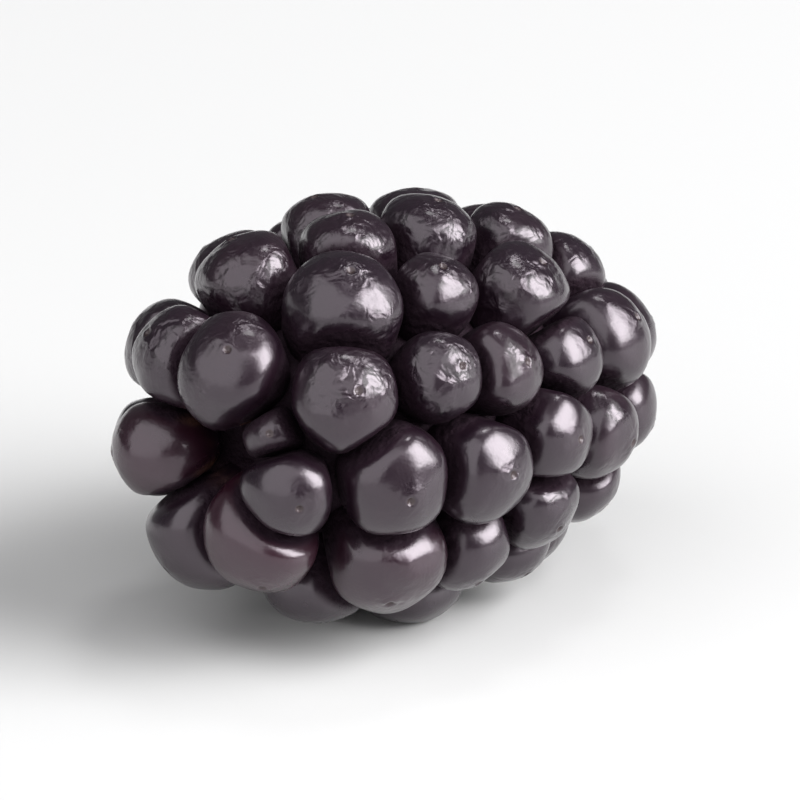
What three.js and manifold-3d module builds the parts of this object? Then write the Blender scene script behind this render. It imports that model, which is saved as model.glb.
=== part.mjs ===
// A ripe bramble berry, picked without its stalk and lying on its side.
// It is one aggregate fruit: small round drupelets grown together over a fleshy core, as one solid.
// Millimetres, +Z up. The berry's long axis runs along X: the stem end, with its hollow, is at -X and
// the narrower tip is at +X. It rests on z = 0, where the drupelets under it are pressed flat.
import * as THREE from "three";
import { mergeVertices } from "three/addons/utils/BufferGeometryUtils.js";
import Module from "manifold-3d";

// The body through the drupelets' middles: half its length, width and height, and how much thinner the
// tip is than the stem end.
const HALF_LENGTH = 12.6;
const HALF_WIDTH = 7.6;
const HALF_HEIGHT = 7.1;
const TAPER = 0.12;
const TIP_DROOP = 6; // degrees: the thin end leans down to the surface

// Drupelets set one by one: [degrees from the stem end, degrees round from the top towards -Y, size].
const PLACED_DRUPELETS = [
  [24, 14, 1.05],
  [25, 70, 0.6],
  [31, 107, 0.85],
  [34, 148, 0.95],
  [38, -161, 1.05],
  [24, -113, 0.9],
  [47, -66, 0.9],
  [54, -18, 0.95],
  [45, 60, 1.15],
  [57, 26, 1.15],
  [55, 94, 1.1],
  [62, 132, 1.15],
  [60, 164, 1],
  [69, 61, 0.85],
  [76, 93, 1],
  [77, 32, 0.75],
  [83, 64, 0.8],
  [82, 129, 0.85],
  [82, -22, 1],
  [91, 4, 1],
  [97, 88, 0.9],
  [98, 116, 0.85],
  [101, 38, 0.9],
  [104, 63, 0.8],
  [104, 145, 0.85],
  [113, 10, 0.9],
  [118, 96, 0.85],
  [124, 126, 0.85],
  [130, 20, 0.9],
  [128, 60, 0.9],
  [141, 100, 0.85],
  [150, 52, 1],
];
// The other drupelets start on a golden-angle spiral, wherever there is room, and are then evened out.
const SPIRAL_PLACES = 400;
const KEEP_OFF = 3.35; // no spiral place is used this close to a drupelet that is already there
const SIZE_SPREAD = 0.16;
const STEM_CLEARING = 15; // degrees round the stem end where no drupelet grows
const SKIN_POINTS = 6000; // points spread over the body and shared out among the drupelets
const END_THINNING = 0.35; // share of the points left out at the very ends, where the spiral is crowded
const SETTLING_ROUNDS = 12;
const PLACED_LOOSENESS = 0.05; // share of its way to the middle of its skin that a placed one moves
const GOLDEN_TURN = Math.PI * (3 - Math.sqrt(5));

// A drupelet swells until it meets its neighbours: its half width from the spread of its share of skin,
// its half height from that half width, and how square its shoulders are (2 would be an ellipsoid).
const SWELL = 1.6;
const LEAST_HEIGHT = 0.6;
const HEIGHT_PER_WIDTH = 0.8;
const SHOULDER = 2.4;

// The core that the drupelets sit on, and the hollow left by the stalk.
const CORE_INSET = -0.3;
const HOLLOW_RADIUS = 2.4;
const HOLLOW_DEPTH = 3.2;

const PRESSED_FLAT = 0.3; // depth of the flats under the berry
const SAG = 0.75; // drupelets this close to the surface sink down to it

const ROUND_STEPS = 10; // faces round a drupelet
const POLE_STEPS = 7; // and from its pole to its foot

const radians = THREE.MathUtils.degToRad;

let seed = 11;
function random() {
  seed = (seed * 16807) % 2147483647;
  return seed / 2147483647;
}

// A point of the body, from its angle off the stem end and its angle round from the top.
function bodyPoint(fromStem, round, inset = 0) {
  const waist = Math.sin(fromStem) * (1 + TAPER * Math.cos(fromStem));
  return new THREE.Vector3(
    -(HALF_LENGTH - inset) * Math.cos(fromStem),
    -(HALF_WIDTH - inset) * waist * Math.sin(round),
    (HALF_HEIGHT - inset) * waist * Math.cos(round),
  );
}

// The point of the body that lies outside or inside a given point.
function ontoBody({ x, y, z }) {
  const along = -x / HALF_LENGTH;
  const waist = 1 + TAPER * along;
  const across = [-y / HALF_WIDTH / waist, z / HALF_HEIGHT / waist];
  return bodyPoint(Math.atan2(Math.hypot(...across), along), Math.atan2(...across));
}

function* spiral(places) {
  for (let k = 0; k < places; k++) {
    const fromStem = Math.acos(1 - (2 * (k + 0.5)) / places);
    if (fromStem > radians(STEM_CLEARING)) yield bodyPoint(fromStem, k * GOLDEN_TURN);
  }
}

// Gives every skin point to the drupelet that is nearest for its size.
function shareOut(skin, drupelets) {
  for (const d of drupelets) d.patch = [];
  for (const point of skin) {
    const pull = (d) => point.distanceTo(d.centre) / d.size;
    drupelets.reduce((a, b) => (pull(b) < pull(a) ? b : a)).patch.push(point);
  }
}

// Moves each drupelet, as far as it is loose, to the middle of its share of the skin.
function settle(skin, drupelets) {
  shareOut(skin, drupelets);
  for (const d of drupelets) {
    const middle = new THREE.Vector3();
    for (const point of d.patch) middle.addScaledVector(point, 1 / d.patch.length);
    d.centre = ontoBody(d.centre.clone().lerp(middle, d.looseness));
  }
}

function layOut() {
  const drupelets = PLACED_DRUPELETS.map(([fromStem, round, size]) => ({
    centre: bodyPoint(radians(fromStem), radians(round)),
    size,
    looseness: PLACED_LOOSENESS,
  }));
  for (const centre of spiral(SPIRAL_PLACES))
    if (drupelets.every((d) => d.centre.distanceTo(centre) > KEEP_OFF))
      drupelets.push({ centre, size: 1 + SIZE_SPREAD * (random() - 0.5), looseness: 1 });
  const isKept = ({ x }) => random() > END_THINNING * (x / HALF_LENGTH) ** 2;
  const skin = [...spiral(SKIN_POINTS)].filter(isKept);
  for (let round = 0; round < SETTLING_ROUNDS; round++) settle(skin, drupelets);
  shareOut(skin, drupelets);
  for (const d of drupelets) swell(d);
  return drupelets;
}

function swell(drupelet) {
  const { centre, patch } = drupelet;
  const spread = patch.reduce((sum, point) => sum + point.distanceToSquared(centre), 0) / patch.length;
  drupelet.width = SWELL * Math.sqrt(spread);
  drupelet.height = LEAST_HEIGHT + HEIGHT_PER_WIDTH * drupelet.width;
  drupelet.outward = new THREE.Vector3(
    centre.x / HALF_LENGTH ** 2,
    centre.y / HALF_WIDTH ** 2,
    centre.z / HALF_HEIGHT ** 2,
  ).normalize();
}

// How far a drupelet reaches from its centre along one axis of the frame.
function reach({ outward, width, height }, axis) {
  const along = Math.abs(outward[axis]) * height;
  const across = Math.sqrt(1 - outward[axis] ** 2) * width;
  const power = SHOULDER / (SHOULDER - 1);
  return (along ** power + across ** power) ** (1 / power);
}

// Tips the berry down to the surface, centres it, and lets the drupelets near the surface sink on to it.
function lieDown(drupelets) {
  const droop = new THREE.Matrix4().makeRotationY(radians(TIP_DROOP));
  for (const d of drupelets) {
    d.centre.applyMatrix4(droop);
    d.outward.applyMatrix4(droop);
  }
  const edge = (axis, side) =>
    side * Math.max(...drupelets.map((d) => side * d.centre[axis] + reach(d, axis)));
  const shift = new THREE.Vector3(
    -(edge("x", 1) + edge("x", -1)) / 2,
    -(edge("y", 1) + edge("y", -1)) / 2,
    -edge("z", -1) - PRESSED_FLAT,
  );
  for (const d of drupelets) {
    d.centre.add(shift);
    if (d.centre.z - reach(d, "z") < SAG) d.centre.z = reach(d, "z") - PRESSED_FLAT;
  }
  return new THREE.Matrix4().makeTranslation(shift).multiply(droop);
}

const wasm = await Module();
wasm.setup();

function solidFrom(geometry) {
  const bare = geometry.clone();
  bare.deleteAttribute("normal");
  bare.deleteAttribute("uv");
  const merged = mergeVertices(bare, 1e-4);
  return new wasm.Manifold(
    new wasm.Mesh({
      numProp: 3,
      vertProperties: new Float32Array(merged.attributes.position.array),
      triVerts: new Uint32Array(merged.index.array),
    }),
  );
}

function drupeletSolid({ centre, outward, width, height }) {
  const shape = new THREE.SphereGeometry(1, ROUND_STEPS, POLE_STEPS);
  const corner = new THREE.Vector3();
  const places = shape.attributes.position;
  for (let v = 0; v < places.count; v++) {
    corner.fromBufferAttribute(places, v);
    const across = Math.hypot(corner.x, corner.z);
    const fullness = (across ** SHOULDER + Math.abs(corner.y) ** SHOULDER) ** (-1 / SHOULDER);
    corner.multiplyScalar(fullness).multiply(new THREE.Vector3(width, height, width));
    places.setXYZ(v, corner.x, corner.y, corner.z);
  }
  const turn = new THREE.Quaternion().setFromUnitVectors(new THREE.Vector3(0, 1, 0), outward);
  shape.applyQuaternion(turn);
  shape.translate(centre.x, centre.y, centre.z);
  return solidFrom(shape);
}

// The core is a lathed body with a blunt recess at the stem end.
function coreSolid(placeOnSurface) {
  const outline = [new THREE.Vector2(0, -(HALF_LENGTH - HOLLOW_DEPTH))];
  outline.push(new THREE.Vector2(HOLLOW_RADIUS * 0.8, -(HALF_LENGTH - HOLLOW_DEPTH)));
  for (let fromStem = 25; fromStem < 180; fromStem += 15) {
    const p = bodyPoint(radians(fromStem), 0, CORE_INSET);
    outline.push(new THREE.Vector2(p.z, p.x));
  }
  outline.push(new THREE.Vector2(0, HALF_LENGTH - CORE_INSET));
  const shape = new THREE.LatheGeometry(outline, 24);
  shape.scale(1, 1, HALF_WIDTH / HALF_HEIGHT);
  shape.rotateZ(-Math.PI / 2);
  shape.applyMatrix4(placeOnSurface);
  return solidFrom(shape);
}

// What would lie below the surface is cut away, which leaves the flats that the berry rests on.
function belowSurface() {
  const deep = 10;
  const shape = new THREE.BoxGeometry(60, 60, deep);
  shape.translate(0, 0, -deep / 2);
  return solidFrom(shape);
}

function geometryOf(solid) {
  const { numProp, vertProperties, triVerts } = solid.getMesh();
  const positions = new Float32Array((vertProperties.length / numProp) * 3);
  for (let v = 0; v * numProp < vertProperties.length; v++)
    positions.set(vertProperties.subarray(v * numProp, v * numProp + 3), v * 3);
  const geometry = new THREE.BufferGeometry();
  geometry.setAttribute("position", new THREE.BufferAttribute(positions, 3));
  geometry.setIndex(new THREE.BufferAttribute(new Uint32Array(triVerts), 1));
  geometry.computeVertexNormals();
  return geometry;
}

const drupelets = layOut();
const placeOnSurface = lieDown(drupelets);
let berrySolid = coreSolid(placeOnSurface);
for (const d of drupelets) berrySolid = berrySolid.add(drupeletSolid(d));
berrySolid = berrySolid.subtract(belowSurface());

const skin = new THREE.MeshStandardMaterial({ color: 0x1d1519, roughness: 0.35, metalness: 0 });
const berry = new THREE.Mesh(geometryOf(berrySolid), skin);
berry.name = "berry";

const brambleBerry = new THREE.Group();
brambleBerry.add(berry);
export default brambleBerry;
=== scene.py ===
"""A ripe bramble berry, picked without its stalk and lying on its side on a pale surface.

The berry's long axis runs along X, with the stem end and its hollow at -X and the narrower tip at +X.
It rests on z = 0. Sizes are in metres, and the same as the solid's.
"""

import math

import bpy
import numpy as np
from mathutils import Matrix, Vector, noise


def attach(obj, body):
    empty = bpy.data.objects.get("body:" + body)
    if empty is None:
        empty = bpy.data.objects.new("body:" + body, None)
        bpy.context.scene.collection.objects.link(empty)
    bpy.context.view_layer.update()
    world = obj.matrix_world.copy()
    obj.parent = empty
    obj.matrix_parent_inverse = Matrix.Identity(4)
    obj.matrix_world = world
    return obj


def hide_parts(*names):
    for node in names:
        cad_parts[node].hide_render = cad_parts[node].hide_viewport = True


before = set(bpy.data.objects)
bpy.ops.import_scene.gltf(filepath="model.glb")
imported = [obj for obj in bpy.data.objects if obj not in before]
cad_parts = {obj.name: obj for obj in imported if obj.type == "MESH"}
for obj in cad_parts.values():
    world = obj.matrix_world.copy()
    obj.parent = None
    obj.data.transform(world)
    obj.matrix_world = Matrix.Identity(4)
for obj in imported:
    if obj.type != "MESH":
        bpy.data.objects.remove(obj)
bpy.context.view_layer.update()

MM = 0.001

# The body through the drupelets' middles.
HALF_LENGTH = 12.6 * MM
HALF_WIDTH = 7.6 * MM
HALF_HEIGHT = 7.1 * MM
BODY = np.array([HALF_LENGTH, HALF_WIDTH, HALF_HEIGHT])
TAPER = 0.12  # how much thinner the tip is than the stem end
TIP_DROOP = 6  # degrees: the thin end leans down to the surface

# Drupelets set one by one: degrees from the stem end, degrees round from the top towards -Y, size.
PLACED_DRUPELETS = [
    (24, 14, 1.05),
    (25, 70, 0.6),
    (31, 107, 0.85),
    (34, 148, 0.95),
    (38, -161, 1.05),
    (24, -113, 0.9),
    (47, -66, 0.9),
    (54, -18, 0.95),
    (45, 60, 1.15),
    (57, 26, 1.15),
    (55, 94, 1.1),
    (62, 132, 1.15),
    (60, 164, 1),
    (69, 61, 0.85),
    (76, 93, 1),
    (77, 32, 0.75),
    (83, 64, 0.8),
    (82, 129, 0.85),
    (82, -22, 1),
    (91, 4, 1),
    (97, 88, 0.9),
    (98, 116, 0.85),
    (101, 38, 0.9),
    (104, 63, 0.8),
    (104, 145, 0.85),
    (113, 10, 0.9),
    (118, 96, 0.85),
    (124, 126, 0.85),
    (130, 20, 0.9),
    (128, 60, 0.9),
    (141, 100, 0.85),
    (150, 52, 1),
]
# The other drupelets start on a golden-angle spiral, wherever there is room, and are then evened out.
SPIRAL_PLACES = 400
KEEP_OFF = 3.35 * MM  # no spiral place is used this close to a drupelet that is already there
SIZE_SPREAD = 0.16
STEM_CLEARING = 15  # degrees round the stem end where no drupelet grows
SKIN_POINTS = 6000  # points spread over the body and shared out among the drupelets
END_THINNING = 0.35  # share of the points left out at the very ends, where the spiral is crowded
SETTLING_ROUNDS = 12
PLACED_LOOSENESS = 0.05  # share of its way to the middle of its skin that a placed one moves
GOLDEN_TURN = math.pi * (3 - math.sqrt(5))

# A drupelet's half width goes by the spread of its share of skin, and its half height by that half width.
SWELL = 1.6
LEAST_HEIGHT = 0.6 * MM
HEIGHT_PER_WIDTH = 0.8
SHOULDER = 2.4  # how square the solid's drupelets are, by which the berry is laid down

PRESSED_FLAT = 0.3 * MM  # depth of the flats under the berry
SAG = 0.75 * MM  # drupelets this close to the surface sink down to it

# How drupelets press on one another.
NEIGHBOUR_REACH = 7 * MM  # drupelets with their centres farther apart than this don't meet
PRESSED_SWELL = 1.03  # how much wider than its half width a drupelet would grow if nothing were near
DOME = 2.1  # how square its shoulders would be then
# Share of the way to the wall between two drupelets that each one fills, by degrees from its scar.
GAP_ANGLES = [60, 105]
GAP_SHARES = [0.89, 1.0]
EDGE_TIGHTNESS = 7  # how sharply a drupelet's dome turns into its pressed side
FLOOR_TIGHTNESS = 26  # and how sharply it turns into its flat on the surface
KEPT_SHORT = 0.99  # no dent or wrinkle bulges past this share of the way to the wall
LEAN = 9  # degrees that a drupelet may lean away from straight out
# Dents and wrinkles: how deep, as shares of the drupelet's radius, and how many to a radius.
DENT_DEPTH, DENTS = 0.05, 1.4
WRINKLE_DEPTH, WRINKLES = 0.018, 4.5
WRINKLED = 0.5  # how far down from its scar a drupelet is wrinkled, in radians
NOISE_STEP = 7.3  # how far apart two drupelets read the noise, so that they differ

# The style scar on a drupelet's top: a pit with a lumpy rim, as shares of the drupelet's radius.
SCAR_RADIUS = 0.07
SCAR_DEPTH = 0.04
PIT_NARROWING, PIT_STEEPNESS = 1.3, 4
SCAR_RIM_RADIUS = 0.1
SCAR_RIM = 0.008
RIM_NARROWING = 2.6
RIM_LUMPS = 11
RIM_LUMPINESS = 1.6  # how much higher or lower than the rim its lumps are
SCAR_END = 1.6  # of the rim's radius: where the rings set close together end

# The mesh of a drupelet: faces round it, and rings over its scar, its dome and its hidden foot.
ROUND_FACES = 40
SCAR_RINGS = 6
DOME_RINGS = 28
FOOT_RINGS = 4
DOME_END = 105  # degrees from the scar

# The core under the drupelets, and the hollow that the stalk left in its stem end.
CORE_SCALE = 0.885
CORE_FACES = 72
CORE_RINGS = 30
HOLLOW_RINGS = 16
HOLLOW_EDGE = 19  # degrees from the stem end
# The hollow from the axis out to its lip: share of the way out, and depth under the lip.
HOLLOW_OUT = [0, 0.18, 0.45, 0.68, 0.85, 0.94, 1]
HOLLOW_DEPTHS = np.array([1.0, 1.4, 1.8, 1.7, 1.1, 0.35, 0]) * MM
TEARS = [(0.9 * MM, 0.22 * MM), (0.4 * MM, 0.12 * MM)]  # how wide and how deep its flesh is torn
# Only near the stem end: the share of the half length where tears start, and how fast they deepen.
TORN_FROM, TORN_RISE = 0.6, 5

# Drupelets crowded down between the others, by their place in the list above, from 0: how much deeper.
SUNKEN = {1: 0.7 * MM}
# Drupelets that are still a little red, by their place in the same list: how red.
REDDER = {3: 0.9, 5: 0.7, 11: 0.5}
RED_SPREAD = 0.3  # how red the others may be

SMOOTH_UNDER = 50  # degrees: edges sharper than this stay sharp
FARTHEST = 4  # the next drupelet is noted no farther off than this many times its own reach


def park_miller(seed):
    while True:
        seed = seed * 16807 % 2147483647
        yield seed / 2147483647


SEED = 11
draw = park_miller(SEED)
noise.seed_set(SEED)  # otherwise noise_vector goes by the clock


def body_point(from_stem, around):
    waist = math.sin(from_stem) * (1 + TAPER * math.cos(from_stem))
    return BODY * (-math.cos(from_stem), -waist * math.sin(around), waist * math.cos(around))


def onto_body(point):
    along = -point[0] / HALF_LENGTH
    waist = 1 + TAPER * along
    left, up = -point[1] / HALF_WIDTH / waist, point[2] / HALF_HEIGHT / waist
    return body_point(math.atan2(math.hypot(left, up), along), math.atan2(left, up))


def spiral(places):
    for k in range(places):
        from_stem = math.acos(1 - 2 * (k + 0.5) / places)
        if from_stem > math.radians(STEM_CLEARING):
            yield body_point(from_stem, k * GOLDEN_TURN)


def share_out(skin, centres, sizes):
    """The number of the drupelet that each skin point belongs to: the nearest for its size."""
    pull = np.linalg.norm(skin[:, None] - centres[None], axis=2) / sizes
    return pull.argmin(axis=1)


def lay_out():
    """Centres of the drupelets on the body, and their half widths."""
    centres = [body_point(math.radians(a), math.radians(b)) for a, b, _ in PLACED_DRUPELETS]
    sizes = [size for *_, size in PLACED_DRUPELETS]
    placed = len(centres)
    for place in spiral(SPIRAL_PLACES):
        if all(np.linalg.norm(place - c) > KEEP_OFF for c in centres):
            centres.append(place)
            sizes.append(1 + SIZE_SPREAD * (next(draw) - 0.5))
    centres, sizes = np.array(centres), np.array(sizes)
    skin = np.array(
        [p for p in spiral(SKIN_POINTS) if next(draw) > END_THINNING * (p[0] / HALF_LENGTH) ** 2]
    )
    looseness = np.where(np.arange(len(centres)) < placed, PLACED_LOOSENESS, 1)
    for _ in range(SETTLING_ROUNDS):
        owner = share_out(skin, centres, sizes)
        for i, loose in enumerate(looseness):
            middle = skin[owner == i].mean(axis=0)
            centres[i] = onto_body(centres[i] + loose * (middle - centres[i]))
    owner = share_out(skin, centres, sizes)
    spread = [((skin[owner == i] - c) ** 2).sum(axis=1).mean() for i, c in enumerate(centres)]
    return centres, SWELL * np.sqrt(spread)


def outward_of(centres):
    outward = centres / BODY**2
    return outward / np.linalg.norm(outward, axis=1, keepdims=True)


def reach_down(outward, widths, heights):
    """How far each drupelet reaches below its centre."""
    power = SHOULDER / (SHOULDER - 1)
    along, across = np.abs(outward) * heights, np.sqrt(1 - outward**2) * widths
    return (along**power + across**power) ** (1 / power)


def lie_down(centres, outward, widths, heights):
    """Tips the berry down to the surface, centres it, and lets drupelets near the surface sink on to it."""
    droop = np.array(Matrix.Rotation(math.radians(TIP_DROOP), 3, "Y"))
    centres, outward = centres @ droop.T, outward @ droop.T
    reach = np.stack([reach_down(outward[:, axis], widths, heights) for axis in range(3)], axis=1)
    low, high = (centres - reach).min(axis=0), (centres + reach).max(axis=0)
    shift = -(low + high) / 2
    shift[2] = -low[2] - PRESSED_FLAT
    centres = centres + shift
    sinks = centres[:, 2] - reach[:, 2] < SAG
    centres[sinks, 2] = reach[sinks, 2] - PRESSED_FLAT
    return centres, outward, Matrix.Translation(shift) @ Matrix.Rotation(math.radians(TIP_DROOP), 4, "Y")


def deselect_all():
    if bpy.context.object and bpy.context.object.mode != "OBJECT":
        bpy.ops.object.mode_set(mode="OBJECT")
    bpy.ops.object.select_all(action="DESELECT")


def corners_of(mesh):
    places = np.empty(len(mesh.vertices) * 3)
    mesh.vertices.foreach_get("co", places)
    return places.reshape(-1, 3)


def place_corners(mesh, places):
    mesh.vertices.foreach_set("co", np.ascontiguousarray(places).ravel())
    mesh.update()


def list_in_order(mesh):
    """Lists the faces by their corners' numbers. A new sphere lists them differently each run."""
    faces = [list(face.vertices) for face in mesh.polygons]
    firsts = [face.index(min(face)) for face in faces]
    faces = sorted(face[first:] + face[:first] for face, first in zip(faces, firsts))
    places = corners_of(mesh)
    mesh.clear_geometry()
    mesh.from_pydata(places, [], faces)


def drupelet_pattern():
    """A round drupelet of radius 1, its rings set close together over the scar on top."""
    deselect_all()
    rings = SCAR_RINGS + DOME_RINGS + FOOT_RINGS
    bpy.ops.mesh.primitive_uv_sphere_add(segments=ROUND_FACES, ring_count=rings, radius=1)
    pattern = bpy.context.object
    list_in_order(pattern.data)
    scar_end, dome_end = SCAR_END * SCAR_RIM_RADIUS, math.radians(DOME_END)
    even = [0, SCAR_RINGS, SCAR_RINGS + DOME_RINGS, rings]
    places = corners_of(pattern.data)
    ring = np.arccos(np.clip(places[:, 2], -1, 1)) / math.pi * rings
    from_scar = np.interp(ring, even, [0, scar_end, dome_end, math.pi])
    around = np.arctan2(places[:, 1], places[:, 0])
    flat = np.sin(from_scar)
    places = np.stack([flat * np.cos(around), flat * np.sin(around), np.cos(from_scar)], axis=1)
    place_corners(pattern.data, places)
    return pattern


def free_radius(ways, width, height):
    """How far a drupelet of these half sizes would swell with nothing near, along ways in its own frame."""
    across = np.hypot(ways[:, 0], ways[:, 1]) / (width * PRESSED_SWELL)
    along = np.abs(ways[:, 2]) / height
    return (across**DOME + along**DOME) ** (-1 / DOME)


def roughen(ways, number):
    """Dents all over a drupelet, wrinkles round its scar and the scar's own pit, as shares of its radius."""
    apart = Vector((number * NOISE_STEP, 0, 0))
    dents = np.array([noise.noise(Vector(way) * DENTS + apart) for way in ways])
    wrinkles = np.array([noise.noise(Vector(way) * WRINKLES + apart) for way in ways])
    from_scar = np.arccos(np.clip(ways[:, 2], -1, 1))
    near_scar = np.exp(-((from_scar / WRINKLED) ** 2))
    pit = SCAR_DEPTH * np.exp(-((from_scar / SCAR_RADIUS * PIT_NARROWING) ** PIT_STEEPNESS))
    uneven = np.array([noise.noise(Vector(way) * RIM_LUMPS + apart) for way in ways])
    raised = SCAR_RIM * (1 + RIM_LUMPINESS * uneven)
    rim = raised * np.exp(-(((from_scar - SCAR_RIM_RADIUS) / SCAR_RIM_RADIUS * RIM_NARROWING) ** 2))
    return DENT_DEPTH * dents + WRINKLE_DEPTH * wrinkles * near_scar + rim - pit


def press(places, i, centres, widths, heights, turn):
    """Places of a round drupelet's corners once it has swollen against its neighbours and the surface."""
    ways = places @ turn.T
    filled = np.interp(np.degrees(np.arccos(np.clip(places[:, 2], -1, 1))), GAP_ANGLES, GAP_SHARES)
    limits = free_radius(places, widths[i], heights[i]) ** -EDGE_TIGHTNESS
    walls = np.zeros(len(places))
    for j, centre in enumerate(centres):
        away = centre - centres[i]
        distance = np.linalg.norm(away)
        if 0 < distance < NEIGHBOUR_REACH:
            facing = np.maximum(ways @ away / distance, 0)
            nearness = facing * (widths[i] + widths[j]) / (distance * widths[i])
            limits += (nearness / filled) ** EDGE_TIGHTNESS
            walls = np.maximum(walls, nearness / KEPT_SHORT)
    radii = limits ** (-1 / EDGE_TIGHTNESS) * (1 + roughen(places, i))
    radii = 1 / np.maximum(1 / radii, walls)
    on_floor = (np.maximum(-ways[:, 2], 0) / centres[i][2]) ** FLOOR_TIGHTNESS
    radii = (radii**-FLOOR_TIGHTNESS + on_floor) ** (-1 / FLOOR_TIGHTNESS)
    return centres[i] + ways * radii[:, None]


def lean(outward):
    """The frame of a drupelet that leans a little away from straight out."""
    aside = Vector([next(draw) - 0.5 for _ in range(3)]) * 2 * math.sin(math.radians(LEAN))
    return np.array((Vector(outward) + aside).to_track_quat("Z", "Y").to_matrix())


def drupelets_object(centres, widths, heights, turns):
    pattern = drupelet_pattern()
    round_places = corners_of(pattern.data)
    copies = []
    for i, turn in enumerate(turns):
        copy = pattern.copy()
        copy.data = pattern.data.copy()
        bpy.context.collection.objects.link(copy)
        place_corners(copy.data, press(round_places, i, centres, widths, heights, turn))
        copies.append(copy)
    bpy.data.objects.remove(pattern)
    deselect_all()
    for copy in copies:
        copy.select_set(True)
    bpy.context.view_layer.objects.active = copies[0]
    bpy.ops.object.join()
    joined = bpy.context.object
    note_down(joined.data, "core", np.zeros(len(joined.data.polygons)), "FACE")
    return joined


def core_object(on_surface):
    """The fleshy core under the drupelets, with the torn hollow where the stalk came away."""
    deselect_all()
    rings = HOLLOW_RINGS + CORE_RINGS
    bpy.ops.mesh.primitive_uv_sphere_add(segments=CORE_FACES, ring_count=rings, radius=1)
    core = bpy.context.object
    list_in_order(core.data)
    places = corners_of(core.data)
    ring = np.arccos(np.clip(places[:, 2], -1, 1)) / math.pi * rings
    around = np.arctan2(-places[:, 1], places[:, 0])
    from_stem = np.radians(np.interp(ring, [HOLLOW_RINGS, rings], [HOLLOW_EDGE, 180]))
    places = np.array([body_point(a, b) for a, b in zip(from_stem, around)]) * CORE_SCALE
    out = np.interp(ring, np.linspace(0, HOLLOW_RINGS, len(HOLLOW_OUT)), HOLLOW_OUT)
    places[:, 1:] *= out[:, None]
    places[:, 0] += np.interp(out, HOLLOW_OUT, HOLLOW_DEPTHS)
    near_stem = np.clip((-places[:, 0] / HALF_LENGTH - TORN_FROM) * TORN_RISE, 0, 1)[:, None]
    for width, depth in TEARS:
        places += near_stem * depth * np.array([noise.noise_vector(Vector(p) / width) for p in places])
    place_corners(core.data, places)
    note_down(core.data, "core", np.ones(len(core.data.polygons)), "FACE")
    core.data.transform(on_surface)
    return core


def note_down(mesh, name, values, domain="POINT"):
    """Keeps a number for each corner or each face of a mesh, for its material to read."""
    mesh.attributes.new(name, "FLOAT", domain).data.foreach_set("value", values.astype(np.float32))


def note_drupelets(mesh, centres, widths, heights, turns, on_surface):
    """Notes for the skin how red it is, and how far its scar, the stalk and the next drupelet are."""
    places = corners_of(mesh)
    first, second = (np.full(len(places), np.inf) for _ in range(2))
    redness, from_scar = (np.zeros(len(places)) for _ in range(2))
    for i, turn in enumerate(turns):
        local = (places - centres[i]) @ turn
        lengths = np.linalg.norm(local, axis=1)
        ways = local / lengths[:, None]
        filled = lengths / free_radius(ways, widths[i], heights[i])
        mine = filled < first
        second = np.where(mine, first, np.minimum(second, filled))
        first[mine] = filled[mine]
        redness[mine] = REDDER.get(i, RED_SPREAD * next(draw))
        from_scar[mine] = (np.arccos(np.clip(ways[:, 2], -1, 1)) * lengths)[mine]
    note_down(mesh, "redness", redness)
    note_down(mesh, "next_drupelet", np.clip(second, 0, FARTHEST))
    note_down(mesh, "from_scar", from_scar / MM)
    stalk = np.array(on_surface @ Vector((-HALF_LENGTH * CORE_SCALE, 0, 0)))
    note_down(mesh, "from_stalk", np.linalg.norm(places - stalk, axis=1) / MM)


def berry_object():
    centres, widths = lay_out()
    heights = LEAST_HEIGHT + HEIGHT_PER_WIDTH * widths
    centres, outward, on_surface = lie_down(centres, outward_of(centres), widths, heights)
    for i, depth in SUNKEN.items():
        centres[i] -= outward[i] * depth
    turns = [lean(way) for way in outward]
    core = core_object(on_surface)
    berry = drupelets_object(centres, widths, heights, turns)
    grow = berry.modifiers.new("grown together", "BOOLEAN")
    grow.operation = "UNION"
    grow.solver = "MANIFOLD"
    grow.object = core
    bpy.ops.object.modifier_apply(modifier=grow.name)
    bpy.data.objects.remove(core)
    berry.name = "berry_skin"
    berry.data.materials.clear()
    bpy.ops.object.shade_smooth_by_angle(angle=math.radians(SMOOTH_UNDER))
    note_drupelets(berry.data, centres, widths, heights, turns, on_surface)
    return berry


berry = berry_object()
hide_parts("berry")
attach(berry, "root")


class Socket:
    """A socket of a material's nodes. Sums written with it add Math nodes."""

    def __init__(self, tree, socket=None):
        self.tree, self.socket = tree, socket

    def node(self, kind, settings={}, inputs={}, out=0):
        """Adds a node of a kind: first its settings, then values or links for its sockets."""
        made = self.tree.nodes.new(kind)
        for name, value in settings.items():
            setattr(made, name, value)
        for name, value in inputs.items():
            if isinstance(value, Socket):
                self.tree.links.new(value.socket, made.inputs[name])
            else:
                made.inputs[name].default_value = value
        return Socket(self.tree, made.outputs[out])

    def maths(self, operation, *values):
        return self.node("ShaderNodeMath", {"operation": operation}, dict(enumerate(values)))

    def __add__(self, other):
        return self.maths("ADD", self, other)

    def __sub__(self, other):
        return self.maths("SUBTRACT", self, other)

    def __rsub__(self, other):
        return self.maths("SUBTRACT", other, self)

    def __mul__(self, other):
        return self.maths("MULTIPLY", self, other)

    __radd__, __rmul__ = __add__, __mul__

    def smooth(self, start, end):
        """0 up to start, 1 from end on, and a smooth rise between them."""
        settings = {"interpolation_type": "SMOOTHSTEP"}
        return self.node("ShaderNodeMapRange", settings, {"Value": self, "From Min": start, "From Max": end})

    def blend(self, low, high):
        """A colour between two, by this value."""
        return self.node("ShaderNodeMix", {"data_type": "RGBA"}, {0: self, 6: low, 7: high}, out=2)


def new_material(name):
    material = bpy.data.materials.new(name)
    material.use_nodes = True
    return material, material.node_tree.nodes["Principled BSDF"], Socket(material.node_tree)


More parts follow.
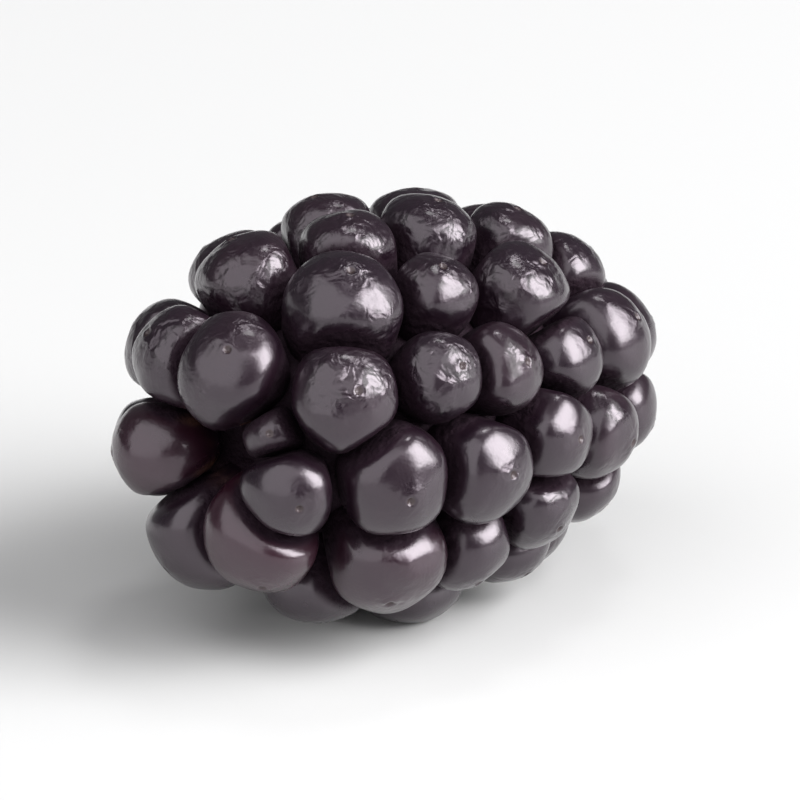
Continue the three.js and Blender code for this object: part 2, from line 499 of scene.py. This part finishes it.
RIPE = (0.0085, 0.0038, 0.0076, 1)
WINE = (0.021, 0.005, 0.0105, 1)
# Lighter than the ripe skin: partly the thinner skin between drupelets, partly painted light that lifts the
# shade in the crevices. The core away from the stalk has it too.
CREVICE_AND_PAINTED_LIFT = (0.0145, 0.0064, 0.0118, 1)
FLESH = (0.09, 0.038, 0.026, 1)
SCAR = (0.02, 0.009, 0.0055, 1)
PALE_FLOOR = (0.58, 0.58, 0.58, 1)

# How wide the skin's grains are, from the blotches of its colour down to its cells, and the torn fibres.
CRUMPLED_PATCH = 4 * MM
BLOTCH = 2.2 * MM
CREASE = 0.85 * MM
FIBRE = 0.5 * MM
PEBBLE = 0.42 * MM
CELL = 0.15 * MM
# How strongly a grain stands out: everywhere, more in crumpled patches, and more round the scar.
PEBBLE_RELIEF = (0.06, 0.45, 0.6)
CREASE_RELIEF = (0.3, 2.8, 1.2)
CELL_RELIEF = 0.06
SKIN_DEPTH = 0.12 * MM
TORN_DEPTH = 0.3 * MM

# Where something starts to show and where it shows in full. Crevices go by how far off the middle of the
# next drupelet is, over how far that one would reach there on its own: first the lighter crevice colour,
# partly painted light, then painted shade, where the skin turns dull and dark along the seams. Scar and flesh
# go by mm.
CREVICE_SEEN, PAINTED_SHADE_ALONG_SEAMS = (1.24, 1.03), (1.19, 1.03)
SCAR_SEEN, PUCKERED = (0.24, 0.14), (1.4, 0.3)
FLESH_SEEN = (2.6, 1.4)
# Drupelets crumple where a noise is high, and more easily the higher they are over the surface.
CRUMPLED_SEEN = (0.56, 0.74)
CRUMPLED_HEIGHT, CRUMPLED_ON_TOP = (11 * MM, 18 * MM), 0.3

RED_SEEN, BLOTCHINESS = (0.05, 1.0), 0.5
SCAR_STRENGTH = 0.8
# Roughness of clean skin, and how much duller blotches and scars are.
GLOSSY, BLOTCH_DULLER, SCAR_DULLER = 0.22, 0.14, 0.3


def skin_material():
    material, shader, nodes = new_material("berry_skin")
    tree = material.node_tree
    place = nodes.node("ShaderNodeTexCoord", out=3)

    def kept(name):
        return nodes.node("ShaderNodeAttribute", {"attribute_name": name}, out=2)

    def grain(size, detail=2.0):
        return nodes.node("ShaderNodeTexNoise", {}, {"Vector": place, "Scale": 1 / size, "Detail": detail})

    redness, next_drupelet, from_scar = map(kept, ("redness", "next_drupelet", "from_scar"))
    core, from_stalk = map(kept, ("core", "from_stalk"))
    mottle = grain(BLOTCH)
    pebbles = nodes.node(
        "ShaderNodeTexVoronoi",
        {"feature": "SMOOTH_F1"},
        {"Vector": place, "Scale": 1 / PEBBLE, "Smoothness": 0.6},
    )
    cells = nodes.node("ShaderNodeTexVoronoi", {}, {"Vector": place, "Scale": 1 / CELL})

    red = (redness + (mottle - 0.5) * BLOTCHINESS).smooth(*RED_SEEN)
    # Along the seams the skin takes the crevice colour: partly its own colour there, partly painted light in
    # the crevices' shade.
    crevice_and_painted_lift = next_drupelet.smooth(*CREVICE_SEEN)
    scar = from_scar.smooth(*SCAR_SEEN)
    skin = red.blend(RIPE, WINE)
    skin = (scar * SCAR_STRENGTH).blend(skin, SCAR)
    skin = crevice_and_painted_lift.blend(skin, CREVICE_AND_PAINTED_LIFT)
    tree.links.new(skin.socket, shader.inputs["Base Color"])

    dull = GLOSSY + mottle * BLOTCH_DULLER + scar * SCAR_DULLER
    tree.links.new(dull.socket, shader.inputs["Roughness"])
    shader.inputs["Specular IOR Level"].default_value = 0.75
    shader.inputs["Specular Tint"].default_value = (1, 0.88, 0.98, 1)
    shader.inputs["Coat Roughness"].default_value = 0.12
    shader.inputs["Coat Weight"].default_value = 0.35

    up = nodes.node("ShaderNodeSeparateXYZ", {}, {0: place}, out=2)
    patch = (grain(CRUMPLED_PATCH) + up.smooth(*CRUMPLED_HEIGHT) * CRUMPLED_ON_TOP).smooth(*CRUMPLED_SEEN)
    pucker = from_scar.smooth(*PUCKERED)
    creases = nodes.node(
        "ShaderNodeTexNoise",
        {},
        {"Vector": place, "Scale": 1 / CREASE, "Detail": 2.0, "Distortion": 0.6},
    )

    def raised(grains, everywhere, crumpled, puckered):
        return grains * (everywhere + patch * crumpled + pucker * puckered)

    relief = raised(pebbles, *PEBBLE_RELIEF) + raised(creases, *CREASE_RELIEF) + cells * CELL_RELIEF
    bump = nodes.node("ShaderNodeBump", {}, {"Height": relief, "Strength": 0.5, "Distance": SKIN_DEPTH})
    tree.links.new(bump.socket, shader.inputs["Normal"])

    fibres = grain(FIBRE, 4.0)
    flesh = from_stalk.smooth(*FLESH_SEEN).blend(CREVICE_AND_PAINTED_LIFT, FLESH)
    torn = nodes.node("ShaderNodeBump", {}, {"Height": fibres, "Strength": 0.8, "Distance": TORN_DEPTH})
    # The core's torn flesh. It also serves as painted shade along the seams between drupelets.
    inside_and_painted_shade = nodes.node(
        "ShaderNodeBsdfPrincipled",
        {},
        {"Base Color": flesh, "Roughness": 0.75, "Specular IOR Level": 0.15, "Normal": torn},
    )
    # Painted shade: next to the seams, the glossy skin gives way to this dull, dark shader, as does the whole
    # core.
    core_or_painted_shade = core.maths("MAXIMUM", core, next_drupelet.smooth(*PAINTED_SHADE_ALONG_SEAMS))
    whole = nodes.node("ShaderNodeMixShader", {}, {0: core_or_painted_shade, 1: Socket(tree, shader.outputs[0]), 2: inside_and_painted_shade})
    tree.links.new(whole.socket, tree.nodes["Material Output"].inputs["Surface"])
    return material


berry.data.materials.append(skin_material())

# Floor
bpy.ops.mesh.primitive_plane_add(size=4)
floor = bpy.context.object
floor.name = "floor"
pale, pale_shader, _ = new_material("floor")
pale_shader.inputs["Base Color"].default_value = PALE_FLOOR
pale_shader.inputs["Roughness"].default_value = 0.6
floor.data.materials.append(pale)


def softbox(name, place, size, brightness):
    """A softbox aimed at the berry. Its power goes by its size, so a larger one isn't brighter to look at."""
    data = bpy.data.lights.new(name, "AREA")
    data.shape = "RECTANGLE"
    data.size, data.size_y = size
    data.energy = brightness * math.pi * size[0] * size[1]
    light = bpy.data.objects.new(name, data)
    bpy.context.collection.objects.link(light)
    light.location = place
    light.rotation_euler = (LIT_SPOT - light.location).to_track_quat("-Z", "Y").to_euler()


def from_view(azimuth, elevation, distance):
    a, e = math.radians(azimuth), math.radians(elevation)
    return Vector((math.sin(a) * math.cos(e), -math.cos(a) * math.cos(e), math.sin(e))) * distance


CAMERA_AZIMUTH, CAMERA_ELEVATION, CAMERA_DISTANCE = -46, 21, 0.42
AIM = Vector((0, 0, 9.3 * MM))
LENS = 410
LIT_SPOT = Vector((0, 0, 10 * MM))
ROOM = (0.1, 0.1, 0.105, 1)
# Softboxes: degrees round from the camera, elevation, distance, width and height, brightness.
SOFTBOXES = {
    "window": (73, 34, 0.8, (0.52, 0.6), 8.3),
    "window_glow": (75, 36, 1.1, (1.2, 1.0), 3.9),
    "fill": (-40, 40, 1.2, (2.0, 2.1), 1.55),
    "lamp": (150, 70, 1.0, (0.18, 0.18), 10),
}
for name, (around, elevation, distance, size, brightness) in SOFTBOXES.items():
    softbox(name, from_view(CAMERA_AZIMUTH + around, elevation, distance), size, brightness)

world = bpy.data.worlds.new("room")
bpy.context.scene.world = world
world.use_nodes = True
world.node_tree.nodes["Background"].inputs["Color"].default_value = ROOM

camera_data = bpy.data.cameras.new("camera")
camera = bpy.data.objects.new("camera", camera_data)
bpy.context.collection.objects.link(camera)
camera.location = AIM + from_view(CAMERA_AZIMUTH, CAMERA_ELEVATION, CAMERA_DISTANCE)
camera.rotation_euler = (AIM - camera.location).to_track_quat("-Z", "Y").to_euler()
camera_data.lens = LENS
bpy.context.scene.camera = camera
bpy.context.scene.view_settings.view_transform = "Standard"
